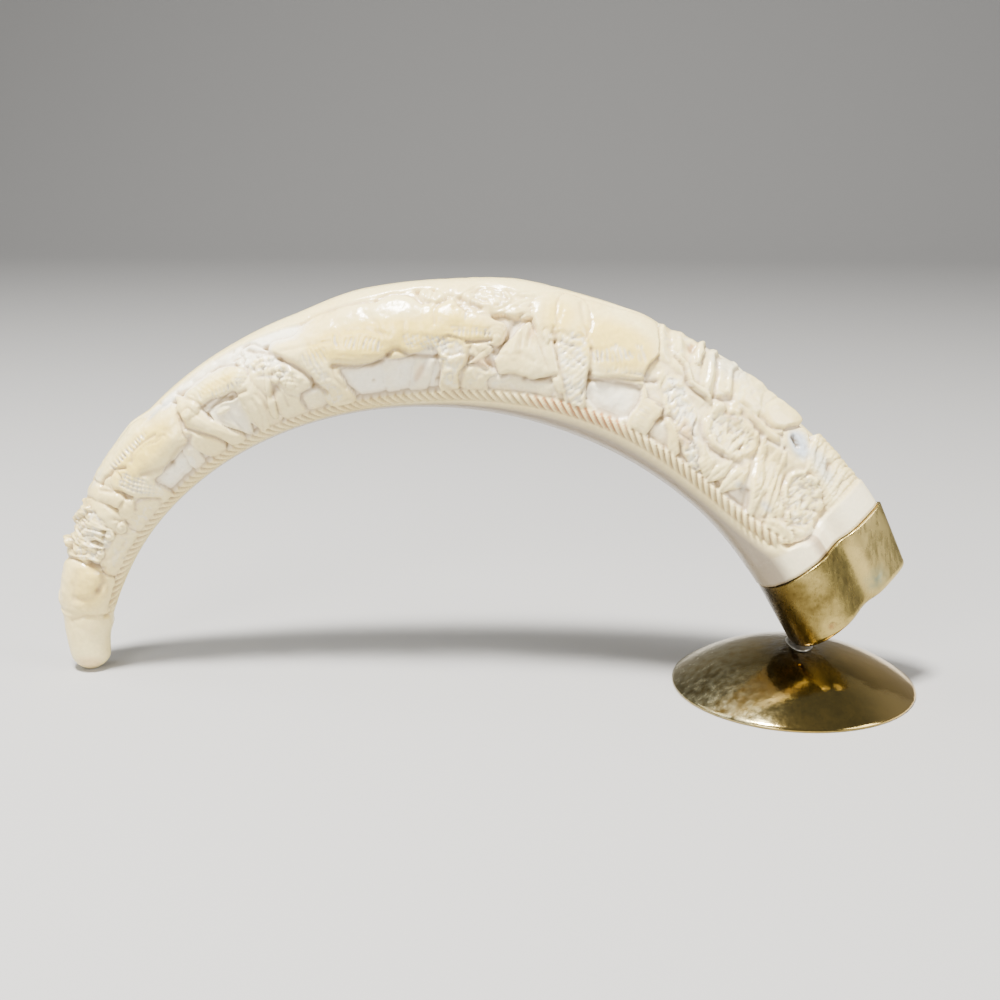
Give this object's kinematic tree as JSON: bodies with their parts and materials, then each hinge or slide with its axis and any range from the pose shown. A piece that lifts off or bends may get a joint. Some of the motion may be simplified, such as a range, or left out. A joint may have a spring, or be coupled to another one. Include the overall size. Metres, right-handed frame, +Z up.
{
  "type": "carved warthog tooth ornament",
  "caption": "Arched warthog tooth carved with animals, leaves and a rope border, standing on its tip and on a brass collar soldered to a domed brass dish.",
  "frame": {"origin": "middle of the footprint, on the surface it stands on", "axes": "+X from the tooth's tip towards the foot, +Y away from the carved face, +Z up"},
  "size_m": [0.2598, 0.0724, 0.1217],
  "materials": {
    "ivory": "polished ivory, chalky in the cut recesses",
    "collar_brass": "dull aged polish",
    "dish_brass": "dark mirror polish with patina",
    "solder": "dull grey soft solder"
  },
  "bodies": {
    "root": {"carved_tusk": "ivory", "brass_collar": "collar_brass", "foot_dish": "dish_brass", "solder_joint": "solder"}
  },
  "joints": []
}
